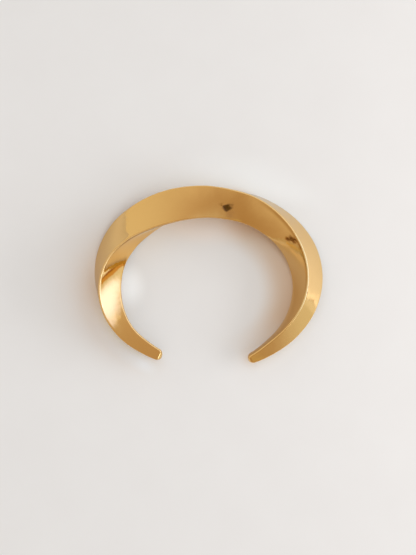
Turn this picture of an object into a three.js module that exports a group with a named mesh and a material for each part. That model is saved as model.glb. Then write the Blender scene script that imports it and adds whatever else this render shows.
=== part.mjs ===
// Twisted open cuff bangle, lying on its side. Millimetres, +Z up.
// The origin is on the resting plane, under the middle of the cuff.
// +Y points at the closed back of the cuff, -Y at the gap between the tips.
import * as THREE from 'three';

// Overall sizes
const edgeRadius = 0.45;      // rounding on the three ridges
const faceCrown = 0.025;      // bulge of the face before the first ridge, as a share of reach
const tipRadiusShare = 0.35;  // ridge rounding at the very tip, as a share of reach
const leftTipAngle = -145.5;  // where the left tip starts to round off
const rightTipAngle = 148.9;  // where the right tip starts to round off
const tipRoundLength = 1.5;   // length of each rounded end
const tipLean = 0.2;          // how far a tip's end is pushed outward, as a share of reach

// Mesh fineness
const ringCount = 150;
const edgeSteps = 3;
const sideSteps = 5;
const tipSteps = 5;

// One row for each 15 degrees round the hoop, from the left tip to the right.
// at: angle from the back of the hoop, positive towards +X.
// out: hoop centre to the middle of the section.
// lift: height of that middle over the resting plane.
// reach: middle of the section to a sharp ridge.
// turn: angle of the first ridge, 0 facing away from the hoop, 90 straight up.
// second, third: angles from the first ridge to the other two.
// hollow: how far the face after the first ridge sinks in, as a share of reach.
// out, reach, turn, second and third are the rounded result of a separate
// fitting program, with three values changed by hand since. lift was one of its
// inputs, and hollow was set by hand.
const sections = [
  { at: -150, out: 28.5, lift: 2.6, reach: 2.7, turn: 28, second: 98, third: 248, hollow: 0 },
  { at: -135, out: 29.9, lift: 3.2, reach: 3.5, turn: 34, second: 96, third: 245, hollow: 0 },
  { at: -120, out: 31.9, lift: 3.9, reach: 4.4, turn: 43.5, second: 94, third: 242, hollow: 0 },
  { at: -105, out: 33.6, lift: 4.5, reach: 5.4, turn: 57, second: 98, third: 238, hollow: 0.01 },
  { at: -90, out: 34.5, lift: 4.7, reach: 6.1, turn: 73.5, second: 100, third: 233, hollow: 0.035 },
  { at: -75, out: 34.2, lift: 4.7, reach: 6.5, turn: 92, second: 101, third: 226, hollow: 0.055 },
  { at: -60, out: 32.4, lift: 4.8, reach: 6.9, turn: 109.5, second: 101, third: 224, hollow: 0.055 },
  { at: -45, out: 30.0, lift: 5.1, reach: 7.0, turn: 123.5, second: 100, third: 227, hollow: 0.045 },
  { at: -30, out: 28.3, lift: 5.7, reach: 7.0, turn: 135, second: 102, third: 234, hollow: 0.03 },
  { at: -15, out: 27.7, lift: 6.3, reach: 6.9, turn: 146.5, second: 110, third: 242, hollow: 0.02 },
  { at: 0, out: 27.9, lift: 6.4, reach: 6.9, turn: 158, second: 121, third: 246, hollow: 0.01 },
  { at: 15, out: 28.6, lift: 5.8, reach: 6.9, turn: 168.5, second: 130, third: 247, hollow: 0 },
  { at: 30, out: 29.8, lift: 5.1, reach: 6.8, turn: 177, second: 133, third: 244, hollow: 0 },
  { at: 45, out: 31.2, lift: 4.4, reach: 6.7, turn: 184.5, second: 132, third: 245, hollow: 0 },
  { at: 60, out: 32.6, lift: 3.7, reach: 6.5, turn: 193, second: 135, third: 245, hollow: 0 },
  { at: 75, out: 33.5, lift: 3.2, reach: 6.3, turn: 202, second: 141, third: 242, hollow: 0 },
  { at: 90, out: 33.6, lift: 3.0, reach: 5.9, turn: 211, second: 145, third: 237, hollow: 0 },
  { at: 105, out: 32.8, lift: 3.1, reach: 5.3, turn: 220, second: 146, third: 233, hollow: 0 },
  { at: 120, out: 31.5, lift: 3.0, reach: 4.5, turn: 228, second: 145, third: 236, hollow: 0 },
  { at: 135, out: 30.1, lift: 2.6, reach: 3.6, turn: 231.5, second: 143, third: 239, hollow: 0 },
  { at: 150, out: 29.3, lift: 2.1, reach: 2.5, turn: 229.5, second: 140, third: 239, hollow: 0 },
];
const rowSpacing = sections[1].at - sections[0].at;

const radians = (degrees) => (degrees * Math.PI) / 180;

// Smooth curve through one column of the table.
function columnAt(column, angle) {
  const last = sections.length - 1;
  const along = (angle - sections[0].at) / rowSpacing;
  const row = Math.min(Math.max(Math.floor(along), 0), last - 1);
  const t = along - row;
  const value = (index) => {
    if (index < 0) return 2 * sections[0][column] - sections[1][column];
    if (index > last) return 2 * sections[last][column] - sections[last - 1][column];
    return sections[index][column];
  };
  const [a, b, c, d] = [value(row - 1), value(row), value(row + 1), value(row + 2)];
  const slope = (c - a) * t;
  const bend = (2 * a - 5 * b + 4 * c - d) * t * t;
  const twist = (3 * b - a - 3 * c + d) * t * t * t;
  return b + 0.5 * (slope + bend + twist);
}

// Middle of the section at one angle round the hoop.
function middleAt(angle) {
  const out = columnAt('out', angle);
  const x = out * Math.sin(radians(angle));
  const y = out * Math.cos(radians(angle));
  return new THREE.Vector3(x, y, columnAt('lift', angle));
}

// Level direction that points away from the hoop at one angle.
function outwardAt(angle) {
  const ahead = middleAt(angle + 0.5).sub(middleAt(angle - 0.5));
  return new THREE.Vector3(-ahead.y, ahead.x, 0).normalize();
}

// How far a bowed face leans from flat where it meets a ridge, in degrees.
function bowLean(span, bow) {
  return (Math.atan((2 * bow) / Math.sin(radians(span / 2))) * 180) / Math.PI;
}

// Angles of the three ridges, with the first one repeated after a full turn.
function ridgesAt(angle) {
  const turn = columnAt('turn', angle);
  return [turn, turn + columnAt('second', angle), turn + columnAt('third', angle), turn + 360];
}

// One ring of points: a triangle with rounded corners and slightly bowed sides.
function ringPoints(angle, middle, size, radius) {
  const outward = outwardAt(angle);
  const reach = columnAt('reach', angle) * size;
  const ridges = ridgesAt(angle);
  const place = (away, up) => middle.clone().addScaledVector(outward, away).add(new THREE.Vector3(0, 0, up));

  // The flat direction of each face, how far it bulges and how far it leans.
  const faces = [-columnAt('hollow', angle), 0, faceCrown].map((bow, index) => {
    const span = ridges[index + 1] - ridges[index];
    return { facing: ridges[index] + span / 2, bulge: bow * reach, lean: bowLean(span, bow) };
  });

  // Each corner is an arc from the face before the ridge to the face after it.
  const onCorner = (index, part) => {
    const before = faces[(index + 2) % 3];
    const after = faces[index % 3];
    const beforeFacing = index % 3 === 0 ? before.facing - 360 : before.facing;
    const spread = after.facing - beforeFacing;
    const inset = radius / Math.cos(radians(spread / 2));
    const ridge = radians(ridges[index % 3]);
    const bisector = radians(beforeFacing + spread / 2);
    const start = beforeFacing + before.lean;
    const around = radians(start + (after.facing - after.lean - start) * part);
    return place(
      reach * Math.cos(ridge) - inset * Math.cos(bisector) + radius * Math.cos(around),
      reach * Math.sin(ridge) - inset * Math.sin(bisector) + radius * Math.sin(around),
    );
  };

  const points = [];
  for (let index = 0; index < 3; index += 1) {
    for (let step = 0; step <= edgeSteps; step += 1) points.push(onCorner(index, step / edgeSteps));
    const sideStart = onCorner(index, 1);
    const sideEnd = onCorner(index + 1, 0);
    const { facing, bulge } = faces[index];
    const bowed = place(Math.cos(radians(facing)), Math.sin(radians(facing))).sub(middle);
    for (let step = 1; step < sideSteps; step += 1) {
      const part = step / sideSteps;
      const height = 4 * bulge * part * (1 - part);
      points.push(sideStart.clone().lerp(sideEnd, part).addScaledVector(bowed, height));
    }
  }
  return points;
}

// Rings along the band, then rings that shrink to round off a tip.
function bandRing(angle) {
  return ringPoints(angle, middleAt(angle), 1, edgeRadius);
}

// A tip shrinks towards its heart, which is the mean of the ridges pushed outward.
function tipRings(angle, side) {
  const middle = middleAt(angle);
  const ahead = middleAt(angle + 0.5 * side).sub(middleAt(angle - 0.5 * side)).normalize();
  const reach = columnAt('reach', angle);
  const heart = outwardAt(angle).multiplyScalar(reach * tipLean);
  for (const ridge of ridgesAt(angle).slice(0, 3)) {
    heart.addScaledVector(outwardAt(angle), (reach * Math.cos(radians(ridge))) / 3);
    heart.z += (reach * Math.sin(radians(ridge))) / 3;
  }
  const rings = [];
  for (let step = 1; step < tipSteps; step += 1) {
    const part = radians((90 * step) / tipSteps);
    const size = Math.cos(part);
    const centre = middle.clone().addScaledVector(ahead, tipRoundLength * Math.sin(part));
    centre.addScaledVector(heart, 1 - size);
    const radius = size * (edgeRadius + (tipRadiusShare * reach - edgeRadius) * Math.sin(part));
    rings.push(ringPoints(angle, centre, size, radius));
  }
  const end = middle.clone().addScaledVector(ahead, tipRoundLength).add(heart);
  return { rings, end };
}

function cuffGeometry() {
  const left = tipRings(leftTipAngle, -1);
  const right = tipRings(rightTipAngle, 1);
  const band = [];
  for (let ring = 0; ring <= ringCount; ring += 1) {
    const along = ring / ringCount;
    band.push(bandRing(leftTipAngle + (rightTipAngle - leftTipAngle) * along));
  }
  const rings = [...left.rings.reverse(), ...band, ...right.rings];
  const perRing = rings[0].length;
  const points = [...rings.flat(), left.end, right.end];
  const leftEnd = points.length - 2;
  const rightEnd = points.length - 1;
  const lastRing = (rings.length - 1) * perRing;
  const faces = [];
  for (let side = 0; side < perRing; side += 1) {
    const next = (side + 1) % perRing;
    for (let ring = 0; ring < rings.length - 1; ring += 1) {
      const here = ring * perRing;
      const there = here + perRing;
      faces.push(here + side, there + next, there + side);
      faces.push(here + side, here + next, there + next);
    }
    faces.push(leftEnd, next, side);
    faces.push(rightEnd, lastRing + side, lastRing + next);
  }
  const geometry = new THREE.BufferGeometry();
  geometry.setAttribute('position', new THREE.Float32BufferAttribute(points.flatMap((p) => p.toArray()), 3));
  geometry.setIndex(faces);
  geometry.computeBoundingBox();
  const { min, max } = geometry.boundingBox;
  geometry.translate(-(min.x + max.x) / 2, -(min.y + max.y) / 2, -min.z);
  geometry.computeVertexNormals();
  return geometry;
}

const gold = new THREE.MeshStandardMaterial({ color: '#e0a64a', roughness: 0.12, metalness: 1 });
const cuff = new THREE.Mesh(cuffGeometry(), gold);
cuff.name = 'cuff';

const bangle = new THREE.Group();
bangle.name = 'bangle';
bangle.add(cuff);
export default bangle;
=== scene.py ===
# Looks for an open twisted gold cuff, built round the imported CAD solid.
# The script follows the object: the cuff, the surface it lies on, the light, the camera.
import math

import bpy
import numpy as np
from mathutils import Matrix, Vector


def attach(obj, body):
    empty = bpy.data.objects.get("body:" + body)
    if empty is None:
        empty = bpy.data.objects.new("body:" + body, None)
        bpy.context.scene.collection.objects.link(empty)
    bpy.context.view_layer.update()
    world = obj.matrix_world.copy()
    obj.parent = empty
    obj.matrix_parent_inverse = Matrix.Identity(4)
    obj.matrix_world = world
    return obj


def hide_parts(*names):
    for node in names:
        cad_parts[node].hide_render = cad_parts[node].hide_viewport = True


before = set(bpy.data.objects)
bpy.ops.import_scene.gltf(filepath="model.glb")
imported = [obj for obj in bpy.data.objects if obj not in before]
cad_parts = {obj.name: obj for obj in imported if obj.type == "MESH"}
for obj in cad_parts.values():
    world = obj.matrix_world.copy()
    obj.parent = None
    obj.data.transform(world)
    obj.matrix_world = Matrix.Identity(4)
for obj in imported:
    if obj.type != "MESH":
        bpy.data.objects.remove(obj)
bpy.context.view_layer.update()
MM = 0.001


# ---------------------------------------------------------------------------
# The cuff
# One solid bar of brass plated in yellow gold, three-sided in section and
# twisted as it runs round the wrist. It is cast, filed to three long faces that
# meet in ridges, rounded over at both tips, and buffed to a mirror.
# ---------------------------------------------------------------------------
EDGE_RADIUS = 0.45        # mm, rounding on the three ridges
FACE_CROWN = 0.025        # bulge of the face before the first ridge, as a share of reach
TIP_RADIUS_SHARE = 0.35   # ridge rounding at the very tip, as a share of reach
TIP_ANGLES = (-145.5, 148.9)
TIP_LENGTH = 1.5          # mm, length of each rounded end
TIP_LEAN = 0.2            # how far the end of a tip lies outward of its heart, as a share of reach
ROW_SPACING = 15.0        # degrees between two rows of the table
LOOK_AHEAD = 0.5          # degrees either way, to find which way the bar runs

# at: degrees from the closed back, positive towards +X.
# out: mm from the hoop centre to the middle of the section.
# lift: mm from the resting plane to that middle.
# reach: mm from the middle to a sharp ridge.
# turn: degrees of the first ridge, 0 facing away from the hoop, 90 straight up.
# second, third: degrees from the first ridge to the other two.
# hollow: how far the face after the first ridge sinks in, as a share of reach.
# out, reach, turn, second and third are the rounded result of a separate
# fitting program, with three values changed since. lift was one of its
# inputs, and hollow was set one by one.
COLUMNS = ("at", "out", "lift", "reach", "turn", "second", "third", "hollow")
SECTIONS = [
    (-150, 28.5, 2.6, 2.7, 28, 98, 248, 0),
    (-135, 29.9, 3.2, 3.5, 34, 96, 245, 0),
    (-120, 31.9, 3.9, 4.4, 43.5, 94, 242, 0),
    (-105, 33.6, 4.5, 5.4, 57, 98, 238, 0.01),
    (-90, 34.5, 4.7, 6.1, 73.5, 100, 233, 0.035),
    (-75, 34.2, 4.7, 6.5, 92, 101, 226, 0.055),
    (-60, 32.4, 4.8, 6.9, 109.5, 101, 224, 0.055),
    (-45, 30.0, 5.1, 7.0, 123.5, 100, 227, 0.045),
    (-30, 28.3, 5.7, 7.0, 135, 102, 234, 0.03),
    (-15, 27.7, 6.3, 6.9, 146.5, 110, 242, 0.02),
    (0, 27.9, 6.4, 6.9, 158, 121, 246, 0.01),
    (15, 28.6, 5.8, 6.9, 168.5, 130, 247, 0),
    (30, 29.8, 5.1, 6.8, 177, 133, 244, 0),
    (45, 31.2, 4.4, 6.7, 184.5, 132, 245, 0),
    (60, 32.6, 3.7, 6.5, 193, 135, 245, 0),
    (75, 33.5, 3.2, 6.3, 202, 141, 242, 0),
    (90, 33.6, 3.0, 5.9, 211, 145, 237, 0),
    (105, 32.8, 3.1, 5.3, 220, 146, 233, 0),
    (120, 31.5, 3.0, 4.5, 228, 145, 236, 0),
    (135, 30.1, 2.6, 3.6, 231.5, 143, 239, 0),
    (150, 29.3, 2.1, 2.5, 229.5, 140, 239, 0),
]


def column_at(name, angle):
    """Smooth curve through one column of the table."""
    column = [row[COLUMNS.index(name)] for row in SECTIONS]
    column = [2 * column[0] - column[1]] + column + [2 * column[-1] - column[-2]]
    along = (angle - SECTIONS[0][0]) / ROW_SPACING
    row = min(max(math.floor(along), 0), len(SECTIONS) - 2)
    t = along - row
    a, b, c, d = column[row:row + 4]
    slope = (c - a) * t
    bend = (2 * a - 5 * b + 4 * c - d) * t * t
    twist = (3 * b - a - 3 * c + d) * t ** 3
    return b + 0.5 * (slope + bend + twist)


def middle_at(angle):
    """Middle of the section, in mm from the hoop centre and the resting plane."""
    out = column_at("out", angle)
    turn = math.radians(angle)
    return Vector((out * math.sin(turn), out * math.cos(turn), column_at("lift", angle)))


def outward_at(angle):
    """Level direction that points away from the hoop."""
    ahead = middle_at(angle + LOOK_AHEAD) - middle_at(angle - LOOK_AHEAD)
    return Vector((-ahead.y, ahead.x, 0)).normalized()


ARC_STEPS = 10            # across the rounding of a ridge
FACE_STEPS = 14           # across a face
RING_COUNT = 640          # along the bar
TIP_STEPS = 16            # along a rounded end
MAP_PER_METRE = 10        # of the map that runs along the bar

# Painted shade darkens a thin line beside the first ridge and the third one: the angles
# where it starts and ends, the step of the rounding it starts at, and how thick
# it is. The ridges carry a painted highlight, with wear that dulls their shine: one run of
# the third ridge is painted brightest, and the rest lightly.
FIRST_RIDGE = 0
THIRD_RIDGE = 2
SHADE_LINE_RUNS = {FIRST_RIDGE: (-75, -5, 5, 0.9), THIRD_RIDGE: (30, 100, 8, 0.7)}
SHADE_LINE_FADE = 2          # steps over which residue fades across the bar
BRIGHTEST_SHEEN_RUN = (58, 116)
RUN_FADE = 15             # degrees over which a run fades at its ends
LIGHT_SHEEN_WEAR = 0.2


def ridges_at(angle):
    """Angles of the three ridges, with the first one repeated after a full turn."""
    turn = column_at("turn", angle)
    second = turn + column_at("second", angle)
    third = turn + column_at("third", angle)
    return turn, second, third, turn + 360


def section_outline(angle, size, radius):
    """Three-sided outline with rounded ridges, as pairs of distance out and up."""
    reach = column_at("reach", angle) * size
    ridges = ridges_at(angle)

    faces = []
    for ridge, after, bow in zip(ridges, ridges[1:], (-column_at("hollow", angle), 0, FACE_CROWN)):
        span = after - ridge
        lean = math.degrees(math.atan(2 * bow / math.sin(math.radians(span / 2))))
        faces.append((ridge + span / 2, lean, bow * reach))

    corners = []
    for ridge, before, after in zip(ridges, (faces[2], faces[0], faces[1]), faces):
        before_facing = before[0] - 360 if before[0] > after[0] else before[0]
        spread = after[0] - before_facing
        bisector = math.radians(before_facing + spread / 2)
        inset = radius / math.cos(math.radians(spread / 2))
        away = reach * math.cos(math.radians(ridge)) - inset * math.cos(bisector)
        up = reach * math.sin(math.radians(ridge)) - inset * math.sin(bisector)
        first = before_facing + before[1]
        last = after[0] - after[1]
        arc = []
        for step in range(ARC_STEPS + 1):
            around = math.radians(first + (last - first) * step / ARC_STEPS)
            arc.append(Vector((away + radius * math.cos(around), up + radius * math.sin(around))))
        corners.append(arc)

    outline = []
    for arc, after, (facing, _, bulge) in zip(corners, corners[1:] + corners[:1], faces):
        outline += arc
        bowed = Vector((math.cos(math.radians(facing)), math.sin(math.radians(facing))))
        for step in range(1, FACE_STEPS):
            part = step / FACE_STEPS
            height = 4 * bulge * part * (1 - part)
            outline.append(arc[-1].lerp(after[0], part) + bowed * height)
    return outline


def ring(angle, middle, size, radius):
    """One ring of points round the bar."""
    outward = outward_at(angle)
    up = Vector((0, 0, 1))
    return [middle + outward * p.x + up * p.y for p in section_outline(angle, size, radius)]


def tip_rings(angle, side):
    """Rings that shrink to a rounded end, and the point they close on."""
    middle = middle_at(angle)
    step_ahead = LOOK_AHEAD * side
    ahead = (middle_at(angle + step_ahead) - middle_at(angle - step_ahead)).normalized()
    reach = column_at("reach", angle)
    heart = outward_at(angle) * reach * TIP_LEAN
    for ridge in ridges_at(angle)[:3]:
        heart += outward_at(angle) * reach * math.cos(math.radians(ridge)) / 3
        heart.z += reach * math.sin(math.radians(ridge)) / 3
    rings = []
    for step in range(1, TIP_STEPS):
        part = math.radians(90 * step / TIP_STEPS)
        size = math.cos(part)
        centre = middle + ahead * TIP_LENGTH * math.sin(part) + heart * (1 - size)
        radius = size * (EDGE_RADIUS + (TIP_RADIUS_SHARE * reach - EDGE_RADIUS) * math.sin(part))
        rings.append(ring(angle, centre, size, radius))
    return rings, middle + ahead * TIP_LENGTH + heart


def within(run, angle):
    """1 well inside a run of angles, fading to 0 at both of its ends."""
    return min(max(min(angle - run[0], run[1] - angle) / RUN_FADE, 0), 1)


def cuff_mesh():
    """The whole bar as one closed mesh, with a map of length along and round it."""
    first, last = TIP_ANGLES
    left_rings, left_end = tip_rings(first, -1)
    right_rings, right_end = tip_rings(last, 1)
    band_angles = [first + (last - first) * index / RING_COUNT for index in range(RING_COUNT + 1)]
    band = [ring(angle, middle_at(angle), 1, EDGE_RADIUS) for angle in band_angles]
    rings = left_rings[::-1] + band + right_rings
    ring_angles = [first] * len(left_rings) + band_angles + [last] * len(right_rings)
    towards_end = [1 - step / TIP_STEPS for step in range(1, TIP_STEPS)]
    ring_sheen_fade = towards_end[::-1] + [1] * len(band) + towards_end
    per_ring = len(rings[0])
    points = [p for one in rings for p in one] + [left_end, right_end]
    left_point = len(points) - 2
    right_point = len(points) - 1
    last_ring = (len(rings) - 1) * per_ring
    faces = []
    for side in range(per_ring):
        after = (side + 1) % per_ring
        for index in range(len(rings) - 1):
            here = index * per_ring
            there = here + per_ring
            faces.append((here + side, here + after, there + after, there + side))
        faces.append((left_point, after, side))
        faces.append((right_point, last_ring + side, last_ring + after))

    spot = np.array([p[:] for p in points])
    low = spot.min(axis=0)
    high = spot.max(axis=0)
    shift = np.array([-(low[0] + high[0]) / 2, -(low[1] + high[1]) / 2, -low[2]])
    mesh = bpy.data.meshes.new("cuff")
    mesh.from_pydata([tuple(p) for p in (spot + shift) * MM], [], faces)
    mesh.polygons.foreach_set("use_smooth", [True] * len(mesh.polygons))

    centre_line = [sum(one, Vector()) / per_ring for one in rings]
    run = [0.0]
    for before, now in zip(centre_line, centre_line[1:]):
        run.append(run[-1] + (now - before).length)
    run += [run[0], run[-1]]
    bar_map = mesh.uv_layers.new(name="bar_map")
    for polygon in mesh.polygons:
        sides = [mesh.loops[i].vertex_index % per_ring for i in polygon.loop_indices]
        wraps = max(sides) - min(sides) > per_ring / 2
        for loop_index in polygon.loop_indices:
            vertex = mesh.loops[loop_index].vertex_index
            if vertex >= len(rings) * per_ring:
                along = run[len(rings) + vertex - len(rings) * per_ring]
                side = sides[1]
            else:
                along = run[vertex // per_ring]
                side = vertex % per_ring
            if wraps and side == 0:
                side = per_ring
            bar_map.data[loop_index].uv = (along * MM * MAP_PER_METRE, side / per_ring)

    # Painted highlight and wear are highest on the crest of a ridge and 0 where its rounding
    # meets a face. The painted shade line lies on the side of the rounding that ends at the next
    # face.
    sheen_and_wear = mesh.attributes.new("ridge_highlight_and_wear", "FLOAT", "POINT")
    painted_line_shade = mesh.attributes.new("ridge_shade_line", "FLOAT", "POINT")
    crest = ARC_STEPS / 2
    per_ridge = per_ring // 3
    for index in range(len(rings) * per_ring):
        angle = ring_angles[index // per_ring]
        ridge = index % per_ring // per_ridge
        step = index % per_ridge
        sheen_wear_amount = LIGHT_SHEEN_WEAR
        if ridge == THIRD_RIDGE:
            sheen_wear_amount += (1 - LIGHT_SHEEN_WEAR) * within(BRIGHTEST_SHEEN_RUN, angle)
        sheen_wear_amount *= ring_sheen_fade[index // per_ring]
        sheen_and_wear.data[index].value = sheen_wear_amount * max(0, 1 - abs(step - crest) / crest)
        if ridge in SHADE_LINE_RUNS:
            run_start, run_end, first_step, thickness = SHADE_LINE_RUNS[ridge]
            steps_in = min(step - first_step, ARC_STEPS + SHADE_LINE_FADE - step)
            across = min(max(steps_in / SHADE_LINE_FADE, 0), 1)
            painted_line_shade.data[index].value = thickness * within((run_start, run_end), angle) * across
    mesh.update()
    return mesh, Vector(shift)


cuff_shape, hoop_shift = cuff_mesh()
cuff = bpy.data.objects.new("cuff_gold", cuff_shape)
bpy.context.collection.objects.link(cuff)
FACE_WEIGHT = 60          # how strongly the long faces keep their own shading
flat_faces = cuff.modifiers.new("flat faces", "WEIGHTED_NORMAL")
flat_faces.weight = FACE_WEIGHT


def add_node(tree, kind, **settings):
    """A node with its settings and the unlinked inputs given by name."""
    node = tree.nodes.new(kind)
    for name, value in settings.items():
        if name == "inputs":
            for socket, number in value.items():
                node.inputs[socket].default_value = number
        else:
            setattr(node, name, value)
    return node


WARM_GOLD = (0.965, 0.65, 0.285)
PALE_GOLD = (0.975, 0.67, 0.315)
# The colour of the painted highlight on the ridges, and the tint of the painted shade line beside
# two of them.
PAINTED_HIGHLIGHT_GOLD = (1.0, 0.91, 0.56)
SHADE_LINE_TINT = (0.50, 0.33, 0.13)


def polished_gold():
    """Buffed yellow gold: mirror bright, with faint buffing lines and slow waves."""
    material = bpy.data.materials.new("polished_gold")
    material.use_nodes = True
    tree = material.node_tree
    link = tree.links.new
    shader = tree.nodes["Principled BSDF"]
    shader.inputs["Metallic"].default_value = 1.0

    place = add_node(tree, "ShaderNodeTexCoord")
    bar = add_node(tree, "ShaderNodeUVMap", uv_map="bar_map")

    # Slow waves left by filing, a few millimetres long.
    waves = add_node(tree, "ShaderNodeTexNoise", inputs={
        "Scale": 190.0, "Detail": 2.0, "Roughness": 0.45})
    link(place.outputs["Object"], waves.inputs["Vector"])

    # Fine buffing lines that run along the bar.
    stretch = add_node(tree, "ShaderNodeMapping", inputs={"Scale": (8.0, 420.0, 1.0)})
    link(bar.outputs["UV"], stretch.inputs["Vector"])
    lines = add_node(tree, "ShaderNodeTexNoise", inputs={
        "Scale": 1.0, "Detail": 4.0, "Roughness": 0.7})
    link(stretch.outputs["Vector"], lines.inputs["Vector"])

    # Colour drifts a little between warmer and paler gold.
    drift = add_node(tree, "ShaderNodeTexNoise", inputs={"Scale": 55.0, "Detail": 3.0})
    link(place.outputs["Object"], drift.inputs["Vector"])
    tone = add_node(tree, "ShaderNodeMix", data_type="RGBA")
    tone.inputs[6].default_value = (*WARM_GOLD, 1)
    tone.inputs[7].default_value = (*PALE_GOLD, 1)
    link(drift.outputs["Fac"], tone.inputs[0])

    # A painted highlight makes the ridges paler than the faces.
    sheen_and_wear = add_node(tree, "ShaderNodeAttribute", attribute_name="ridge_highlight_and_wear")
    highlight_share = add_node(tree, "ShaderNodeMapRange", interpolation_type="SMOOTHSTEP", inputs={
        "From Min": 0.0, "From Max": 0.5, "To Min": 0.0, "To Max": 0.5})
    link(sheen_and_wear.outputs["Fac"], highlight_share.inputs["Value"])
    painted_highlight = add_node(tree, "ShaderNodeMix", data_type="RGBA")
    painted_highlight.inputs[7].default_value = (*PAINTED_HIGHLIGHT_GOLD, 1)
    link(highlight_share.outputs["Result"], painted_highlight.inputs[0])
    link(tone.outputs[2], painted_highlight.inputs[6])

    # Painted shade darkens a thin line beside two of the ridges.
    painted_line_shade = add_node(tree, "ShaderNodeAttribute", attribute_name="ridge_shade_line")
    gold_with_shade_lines = add_node(tree, "ShaderNodeMix", data_type="RGBA", blend_type="MULTIPLY")
    gold_with_shade_lines.inputs[7].default_value = (*SHADE_LINE_TINT, 1)
    link(painted_line_shade.outputs["Fac"], gold_with_shade_lines.inputs[0])
    link(painted_highlight.outputs[2], gold_with_shade_lines.inputs[6])
    link(gold_with_shade_lines.outputs[2], shader.inputs["Base Color"])

    # Handling leaves soft smears that dull the shine slightly, and rubbed ridges
    # are scuffed duller still.
    smear = add_node(tree, "ShaderNodeTexNoise", inputs={
        "Scale": 90.0, "Detail": 5.0, "Roughness": 0.6})
    link(place.outputs["Object"], smear.inputs["Vector"])
    shine = add_node(tree, "ShaderNodeMapRange", inputs={
        "From Min": 0.3, "From Max": 0.75, "To Min": 0.045, "To Max": 0.1})
    link(smear.outputs["Fac"], shine.inputs["Value"])
    scuffed = add_node(tree, "ShaderNodeMapRange", inputs={
        "From Min": 0.0, "From Max": 0.15, "To Min": 0.0, "To Max": 0.24})
    link(sheen_and_wear.outputs["Fac"], scuffed.inputs["Value"])
    softened = add_node(tree, "ShaderNodeMath", operation="ADD")
    link(scuffed.outputs["Result"], softened.inputs[0])
    link(shine.outputs["Result"], softened.inputs[1])
    link(softened.outputs[0], shader.inputs["Roughness"])

    wave_bump = add_node(tree, "ShaderNodeBump", inputs={
        "Strength": 1.0, "Distance": 0.00011})
    link(waves.outputs["Fac"], wave_bump.inputs["Height"])
    line_bump = add_node(tree, "ShaderNodeBump", inputs={
        "Strength": 0.35, "Distance": 0.000006})
    link(lines.outputs["Fac"], line_bump.inputs["Height"])
    link(wave_bump.outputs["Normal"], line_bump.inputs["Normal"])
    link(line_bump.outputs["Normal"], shader.inputs["Normal"])
    return material


cuff_shape.materials.append(polished_gold())
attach(cuff, "root")
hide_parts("cuff")


# ---------------------------------------------------------------------------
# The surface it lies on
# A plain pale sheet, matt, with the faintest mottle, and with painted glow, shade and mirrored
# colour. It is only the stage.
# ---------------------------------------------------------------------------
FLOOR_SIDE = 6.0
SHEET_DARK = (0.80, 0.775, 0.75)
SHEET_PALE = (0.83, 0.81, 0.785)
SECOND_BOUNCE = 1.5       # mirror depth past which metal is seen in metal

floor_shape = bpy.data.meshes.new("floor")
half = FLOOR_SIDE / 2
corners = [(-half, -half, 0), (half, -half, 0), (half, half, 0), (-half, half, 0)]
floor_shape.from_pydata(corners, [], [(0, 1, 2, 3)])
floor = bpy.data.objects.new("floor", floor_shape)
bpy.context.collection.objects.link(floor)


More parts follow.
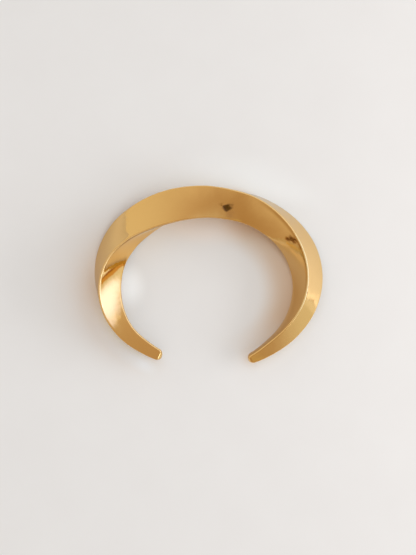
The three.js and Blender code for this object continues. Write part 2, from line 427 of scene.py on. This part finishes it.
def pale_sheet():
    """Matt off-white sheet, with glow and shade of the polished metal painted into its colour, and a
    painted dimmer copy of it for the metal to mirror.
    """
    material = bpy.data.materials.new("pale_sheet")
    material.use_nodes = True
    tree = material.node_tree
    link = tree.links.new
    shader = tree.nodes["Principled BSDF"]
    shader.inputs["Roughness"].default_value = 0.75
    shader.inputs["Specular IOR Level"].default_value = 0.2
    place = add_node(tree, "ShaderNodeTexCoord")

    # Millimetres from the centre of the hoop.
    spot = add_node(tree, "ShaderNodeVectorMath", operation="MULTIPLY_ADD")
    spot.inputs[1].default_value = (1 / MM, 1 / MM, 1 / MM)
    spot.inputs[2].default_value = (-hoop_shift.x, -hoop_shift.y, 0)
    link(place.outputs["Object"], spot.inputs[0])
    axes = add_node(tree, "ShaderNodeSeparateXYZ")
    link(spot.outputs[0], axes.inputs[0])

    def fade(socket, start, end):
        """0 at start, 1 at end."""
        node = add_node(tree, "ShaderNodeMapRange", interpolation_type="SMOOTHSTEP", inputs={
            "From Min": min(start, end), "From Max": max(start, end),
            "To Min": float(start > end), "To Max": float(start < end)})
        link(socket, node.inputs["Value"])
        return node.outputs["Result"]

    def oval(middle, halves, full, gone):
        """1 within the full share of an oval's half sizes, 0 beyond the gone share."""
        inside = add_node(tree, "ShaderNodeVectorMath", operation="MULTIPLY_ADD")
        inside.inputs[1].default_value = (1 / halves[0], 1 / halves[1], 0)
        inside.inputs[2].default_value = (-middle[0] / halves[0], -middle[1] / halves[1], 0)
        link(spot.outputs[0], inside.inputs[0])
        share = add_node(tree, "ShaderNodeVectorMath", operation="LENGTH")
        link(inside.outputs[0], share.inputs[0])
        return fade(share.outputs["Value"], gone, full)

    def both(first, second):
        """Where two masks overlap."""
        node = add_node(tree, "ShaderNodeMath", operation="MULTIPLY")
        link(first, node.inputs[0])
        link(second, node.inputs[1])
        return node.outputs[0]

    def tinted(colour, mask, tint):
        """The colour multiplied by a tint where the mask is 1."""
        node = add_node(tree, "ShaderNodeMix", data_type="RGBA", blend_type="MULTIPLY")
        link(mask, node.inputs[0])
        link(colour, node.inputs[6])
        node.inputs[7].default_value = (*tint, 1)
        return node.outputs[2]

    mottle = add_node(tree, "ShaderNodeTexNoise", inputs={"Scale": 60.0, "Detail": 3.0})
    link(place.outputs["Object"], mottle.inputs["Vector"])
    tone = add_node(tree, "ShaderNodeMix", data_type="RGBA")
    tone.inputs[6].default_value = (*SHEET_DARK, 1)
    tone.inputs[7].default_value = (*SHEET_PALE, 1)
    link(mottle.outputs["Fac"], tone.inputs[0])
    sheet = tone.outputs[2]

    # Painted shade and light: a warm painted shade inside the right arm, a pale painted pool of
    # light inside the left one, and painted glow from the top of the hoop on both sides of it.
    hugging = add_node(tree, "ShaderNodeMath", operation="SUBTRACT")
    hugging.inputs[0].default_value = 1.0
    link(oval((3, -3), (20, 20), 0.7, 1.15), hugging.inputs[1])
    near_arm = both(oval((0, 0), (33, 33), 0.94, 1.06), hugging.outputs[0])
    near_arm = both(near_arm, both(fade(axes.outputs["X"], 2, 14), fade(axes.outputs["Y"], -24, -9)))
    seen = tinted(sheet, near_arm, (0.86, 0.72, 0.59))
    seen = tinted(seen, oval((-27.5, -1.0), (8.0, 10.0), 0.1, 1.0), (1.24, 1.27, 1.29))
    seen = tinted(seen, both(oval((4, 0), (48, 48), 0.72, 1.0), fade(axes.outputs["Y"], 24, 33)),
                  (1.08, 1.10, 1.11))
    seen = tinted(seen, oval((2, 21), (20, 8), 0.4, 1.2), (1.07, 1.02, 0.99))

    # Painted light lightens and cools the shade along the outer edge of the two tips, mostly the
    # left one.
    outside = add_node(tree, "ShaderNodeMath", operation="SUBTRACT")
    outside.inputs[0].default_value = 1.0
    link(oval((0, 0), (37, 30), 0.86, 0.97), outside.inputs[1])
    outer_edge = both(oval((0, 0), (37, 30), 1.0, 1.2), outside.outputs[0])
    left_front = both(fade(axes.outputs["X"], -16, -23), fade(axes.outputs["Y"], 2, -17))
    right_front = both(fade(axes.outputs["X"], 15, 19), fade(axes.outputs["Y"], -9, -17))
    left_edge = both(outer_edge, left_front)
    right_edge = both(outer_edge, right_front)
    seen = tinted(seen, left_edge, (1.12, 1.27, 1.42))
    seen = tinted(seen, right_edge, (1.05, 1.06, 1.07))

    # The metal mirrors a painted copy of the sheet, dimmer and warmer, most of all inside the hoop.
    mirrored = tinted(sheet, fade(axes.outputs["X"], 100, -100), (0.80, 0.75, 0.65))
    mirrored = tinted(mirrored, oval((0, 0), (90, 90), 0.6, 1.2), (1.03, 1.03, 1.03))
    mirrored = tinted(mirrored, oval((0, 0), (70, 70), 0.5, 0.9), (0.93, 0.93, 0.93))
    front_left = both(fade(axes.outputs["X"], 5, -50), fade(axes.outputs["Y"], -5, -40))
    mirrored = tinted(mirrored, front_left, (0.84, 0.73, 0.52))
    back_right = both(fade(axes.outputs["X"], 5, 30), fade(axes.outputs["Y"], 10, 30))
    mirrored = tinted(mirrored, back_right, (0.94, 0.91, 0.87))
    hollow = oval((0, 0), (28, 28), 0.93, 1.07)
    mirrored = tinted(mirrored, hollow, (1.15, 1.05, 0.88))
    mirrored = tinted(mirrored, both(hollow, fade(axes.outputs["Y"], 7, -4)), (0.90, 0.82, 0.67))
    mirrored = tinted(mirrored, both(hollow, fade(axes.outputs["X"], -14, 8)), (0.74, 0.74, 0.82))

    # Metal seen in metal mirrors the painted copy of the sheet paler and bluer.
    ray = add_node(tree, "ShaderNodeLightPath")
    twice = add_node(tree, "ShaderNodeMath", operation="GREATER_THAN")
    twice.inputs[1].default_value = SECOND_BOUNCE
    link(ray.outputs["Glossy Depth"], twice.inputs[0])
    mirrored = tinted(mirrored, twice.outputs[0], (1.03, 1.34, 2.0))
    colour = add_node(tree, "ShaderNodeMix", data_type="RGBA")
    link(ray.outputs["Is Glossy Ray"], colour.inputs[0])
    link(seen, colour.inputs[6])
    link(mirrored, colour.inputs[7])
    link(colour.outputs[2], shader.inputs["Base Color"])
    return material


floor_shape.materials.append(pale_sheet())


# ---------------------------------------------------------------------------
# Light
# A plain white studio. One large window low on the right makes the shadows.
# The polished metal mirrors a warmer, dimmer room, brightest at that window.
# ---------------------------------------------------------------------------
def direction(azimuth, elevation):
    """Unit vector; azimuth 0 is +X and 90 is +Y."""
    a = math.radians(azimuth)
    e = math.radians(elevation)
    return (math.cos(a) * math.cos(e), math.sin(a) * math.cos(e), math.sin(e))


# The far walls that the metal mirrors, from the darkest side to the palest.
# These three colours, the azimuth and the first three patches below began as
# the rounded result of a fitting program.
DARK_SIDE = (0.39, 0.25, 0.115)
OVERHEAD = (0.56, 0.43, 0.275)
PALE_SIDE = (0.72, 0.635, 0.45)
PALE_AZIMUTH = 120
TWICE_MIRRORED = (0.66, 0.68, 0.39)

# What stands out from the walls: azimuth and elevation of its middle, the half
# width that is full and the half width where it ends, its colour and strength.
MIRRORED_PATCHES = [
    (-5, 46, 2, 29, (0.37, 0.49, 0.94), 1.72),
    (0, 0, 32, 88, (0.73, 0.99, 1.0), 0.37),
    (-147, 42, 2, 43, (0.86, 1.0, 0.85), 0.155),
    (-26, 47, 6, 12, (0.75, 0.85, 1.0), 1.8),
    (-20, 1, 1, 7, (0.7, 0.8, 1.0), 0.14),
    (-9, 7, 7.5, 10, (0.28, 0.76, 1.0), -0.46),
    (-77, 45, 2.4, 4.2, (1.0, 0.78, 0.38), -0.43),
    (-80, 43.5, 1.0, 2.4, (1.0, 0.78, 0.38), -0.43),
    (-75, 51, 0.5, 1.2, (1.0, 0.85, 0.65), -0.30),
    (-77, 53.5, 0.5, 1.2, (1.0, 0.85, 0.65), -0.30),
    (-73, 55, 0.4, 1.0, (1.0, 0.85, 0.65), -0.25),
    (-152, 3.0, 1.2, 3.6, (0.80, 0.90, 0.85), -0.30),
    (-13.5, 4, 1.2, 4.5, (1.0, 0.72, 0.20), -0.27),
    (-51, 35, 2.5, 6.5, (0.75, 0.90, 1.0), 2.4),
    (-79, 23, 2, 7, (0.8, 1.0, 0.4), 0.085),
    (-10, 68, 2, 7.5, (1.0, 0.9, 0.0), 0.10),
    (-75, 37.5, 1.5, 4.5, (1.0, 0.9, 0.3), -0.055),
]

# A dark edge low at the front left, made of small patches that run together.
MIRRORED_PATCHES += [
    (azimuth, 3.2, 1.0, 2.4, (0.90, 0.90, 0.80), -0.21)
    for azimuth in (-136.6, -138.1, -139.6, -141.1, -142.6, -144.1, -145.6, -147.1)
]
DARKEST = (0.085, 0.052, 0.014)   # where dark patches overlap, the room gets no darker than this

# The room as it lights the sheet: warm all round, with cool daylight on two
# sides. These colours and strengths, and the window's colour, are the rescaled
# result of another fitting program.
ROOM_COLOUR = (0.739, 0.558, 0.405)
ROOM_PATCHES = [
    (0, 30, 10, 60, (0.35, 0.72, 1.0), 1.45),
    (90, 30, 10, 60, (0.12, 0.55, 1.0), 0.56),
]
BACKDROP = (0.80, 0.78, 0.76)

world = bpy.data.worlds.new("studio")
bpy.context.scene.world = world
world.use_nodes = True
tree = world.node_tree
tree.nodes.clear()
look = tree.nodes.new("ShaderNodeTexCoord")


def facing(azimuth, elevation):
    """How closely the looked-at direction points that way, -1 to 1."""
    node = add_node(tree, "ShaderNodeVectorMath", operation="DOT_PRODUCT")
    node.inputs[1].default_value = direction(azimuth, elevation)
    tree.links.new(look.outputs["Generated"], node.inputs[0])
    return node.outputs["Value"]


def add_patches(colour_socket, patches):
    """The room with its brighter and darker patches added."""
    for azimuth, elevation, full, gone, colour, strength in patches:
        fade = add_node(tree, "ShaderNodeMapRange", interpolation_type="SMOOTHSTEP", inputs={
            "From Min": math.cos(math.radians(gone)),
            "From Max": math.cos(math.radians(full)),
            "To Min": 0.0, "To Max": strength})
        tree.links.new(facing(azimuth, elevation), fade.inputs["Value"])
        patch = add_node(tree, "ShaderNodeVectorMath", operation="SCALE")
        patch.inputs[0].default_value = colour
        tree.links.new(fade.outputs["Result"], patch.inputs["Scale"])
        together = add_node(tree, "ShaderNodeVectorMath", operation="ADD")
        tree.links.new(colour_socket, together.inputs[0])
        tree.links.new(patch.outputs[0], together.inputs[1])
        colour_socket = together.outputs[0]
    return colour_socket


across = add_node(tree, "ShaderNodeMapRange", inputs={"From Min": -1.0, "From Max": 1.0})
tree.links.new(facing(PALE_AZIMUTH, 0), across.inputs["Value"])
walls = tree.nodes.new("ShaderNodeValToRGB")
walls.color_ramp.elements[0].color = (*DARK_SIDE, 1)
walls.color_ramp.elements[1].color = (*PALE_SIDE, 1)
walls.color_ramp.elements.new(0.5).color = (*OVERHEAD, 1)
tree.links.new(across.outputs["Result"], walls.inputs["Fac"])
seen_in_metal = tree.nodes.new("ShaderNodeBackground")

# Metal seen in metal mirrors a dimmer, yellower room.
ray = tree.nodes.new("ShaderNodeLightPath")
second_mirror = add_node(tree, "ShaderNodeMath", operation="GREATER_THAN")
second_mirror.inputs[1].default_value = SECOND_BOUNCE
tree.links.new(ray.outputs["Glossy Depth"], second_mirror.inputs[0])
shaded = add_node(tree, "ShaderNodeMix", data_type="RGBA", blend_type="MULTIPLY")
shaded.inputs[7].default_value = (*TWICE_MIRRORED, 1)
tree.links.new(second_mirror.outputs[0], shaded.inputs[0])
never_black = add_node(tree, "ShaderNodeVectorMath", operation="MAXIMUM")
never_black.inputs[1].default_value = DARKEST
tree.links.new(add_patches(walls.outputs["Color"], MIRRORED_PATCHES), never_black.inputs[0])
tree.links.new(never_black.outputs[0], shaded.inputs[6])
tree.links.new(shaded.outputs[2], seen_in_metal.inputs["Color"])

plain = add_node(tree, "ShaderNodeCombineXYZ")
for socket, amount in zip(plain.inputs, ROOM_COLOUR):
    socket.default_value = amount
white_room = tree.nodes.new("ShaderNodeBackground")
tree.links.new(add_patches(plain.outputs[0], ROOM_PATCHES), white_room.inputs["Color"])

backdrop = tree.nodes.new("ShaderNodeBackground")
backdrop.inputs["Color"].default_value = (*BACKDROP, 1)

surroundings = white_room.outputs[0]
for kind, shown in (("Is Glossy Ray", seen_in_metal), ("Is Camera Ray", backdrop)):
    either = tree.nodes.new("ShaderNodeMixShader")
    tree.links.new(ray.outputs[kind], either.inputs["Fac"])
    tree.links.new(surroundings, either.inputs[1])
    tree.links.new(shown.outputs[0], either.inputs[2])
    surroundings = either.outputs[0]
output = tree.nodes.new("ShaderNodeOutputWorld")
tree.links.new(surroundings, output.inputs["Surface"])

WINDOW_PLACE = (0.36, 0.0, 0.10)
WINDOW_SIDES = (0.30, 0.10)
WINDOW_STRENGTH = 0.72
WINDOW_COLOUR = (0.98, 0.96, 1.0)

window_data = bpy.data.lights.new("window", "AREA")
window_data.shape = "RECTANGLE"
window_data.size, window_data.size_y = WINDOW_SIDES
window_data.energy = WINDOW_STRENGTH
window_data.color = WINDOW_COLOUR
window = bpy.data.objects.new("window", window_data)
window.location = WINDOW_PLACE
window.rotation_euler = (-Vector(WINDOW_PLACE)).to_track_quat("-Z", "Y").to_euler()
window.visible_glossy = False
window.visible_camera = False
bpy.context.collection.objects.link(window)


# ---------------------------------------------------------------------------
# Camera
# Above the hoop, looking straight down.
# ---------------------------------------------------------------------------
CAMERA_HEIGHT = 0.68
VIEW_HEIGHT = 0.1887      # metres of the surface seen from top to bottom
VIEW_MIDDLE = (0.00034, 0.00187)   # metres from the hoop's centre to the middle of the view

camera_data = bpy.data.cameras.new("camera")
camera_data.sensor_fit = "VERTICAL"
camera_data.sensor_height = 36.0
camera_data.lens = camera_data.sensor_height * CAMERA_HEIGHT / VIEW_HEIGHT
camera = bpy.data.objects.new("camera", camera_data)
camera.location = (
    hoop_shift.x * MM + VIEW_MIDDLE[0],
    hoop_shift.y * MM + VIEW_MIDDLE[1],
    CAMERA_HEIGHT,
)
bpy.context.collection.objects.link(camera)
bpy.context.scene.camera = camera
bpy.context.scene.view_settings.view_transform = "Standard"
